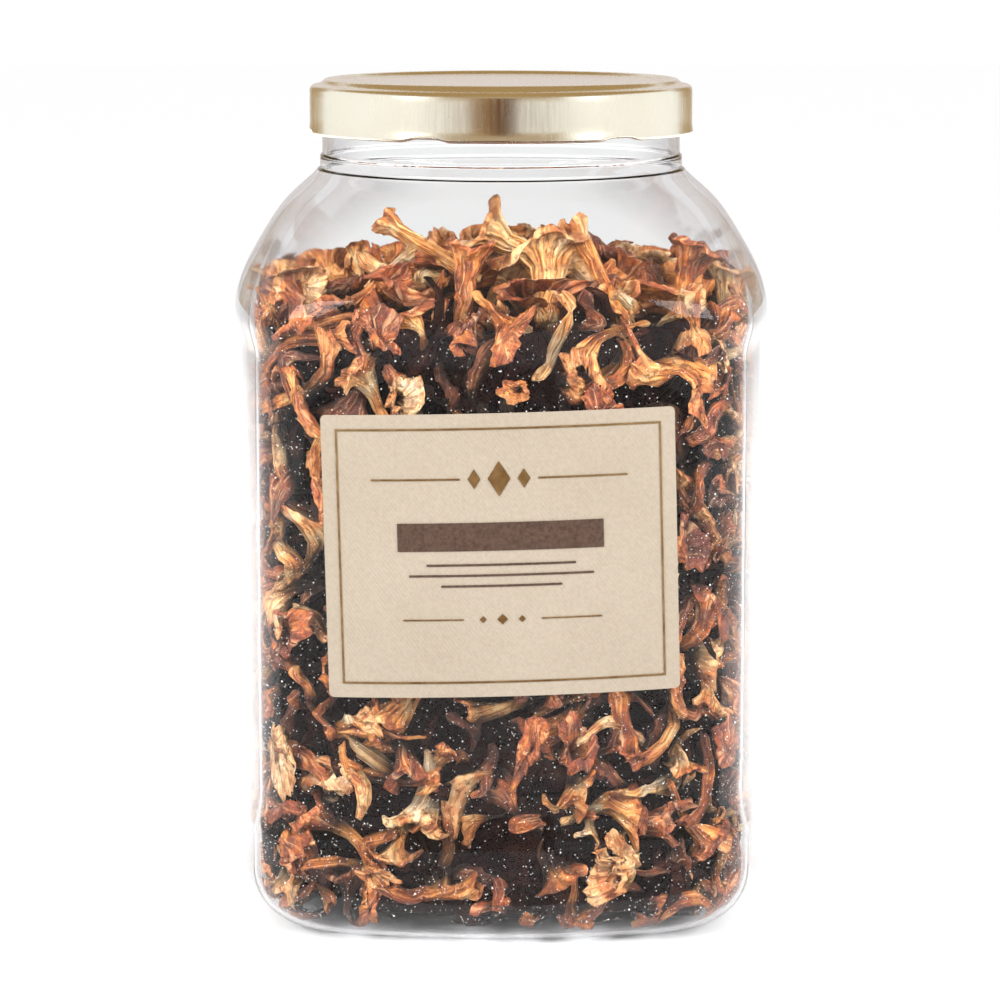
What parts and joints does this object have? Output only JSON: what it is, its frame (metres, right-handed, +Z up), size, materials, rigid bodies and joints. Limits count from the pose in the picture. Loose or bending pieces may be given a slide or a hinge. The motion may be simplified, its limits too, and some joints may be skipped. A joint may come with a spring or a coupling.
{
  "type": "jar of dried chanterelle mushrooms",
  "caption": "Clear square plastic jar with rounded shoulders, a gold twist-off metal lid and a plain beige label, filled with a heap of dried chanterelle mushrooms",
  "frame": {"origin": "middle of the jar's foot, on the surface it stands on", "axes": "+Z up through the lid, -Y out of the labelled front, +X to the right of the label"},
  "size_m": [0.1574, 0.1574, 0.245],
  "materials": {
    "clear_pet": "gloss",
    "gold_lid": "satin",
    "sealing_compound": "satin",
    "label_paper": "matte",
    "dried_mushroom": "matte",
    "pale_mushroom": "matte"
  },
  "bodies": {
    "jar": {"jar": "clear_pet", "label": "label_paper", "mushrooms_layer_1": "dried_mushroom", "mushrooms_layer_2": "dried_mushroom", "mushrooms_layer_3": "dried_mushroom", "mushrooms_layer_4": "dried_mushroom", "mushrooms_top": "dried_mushroom", "mushroom_loose_1": "pale_mushroom", "mushroom_loose_2": "pale_mushroom", "mushroom_loose_3": "pale_mushroom", "mushroom_loose_4": "pale_mushroom", "mushroom_loose_5": "pale_mushroom", "mushroom_loose_6": "pale_mushroom"},
    "seal": {"lid_seal": "sealing_compound"},
    "lid": {"lid": "gold_lid"}
  },
  "joints": [
    {"name": "lid_rise", "type": "slide", "parent": "jar", "child": "seal", "axis": [0, 0, 1], "range_m": [0, 0.002]},
    {"name": "lid_turn", "type": "hinge", "parent": "seal", "child": "lid", "pos_m": [0, 0, 0.237], "axis": [0, 0, 1], "range_deg": [0, 40]}
  ],
  "couplings": [
    {"joint": "lid_rise", "follows": "lid_turn", "m_per_rad": 0.0028647}
  ]
}
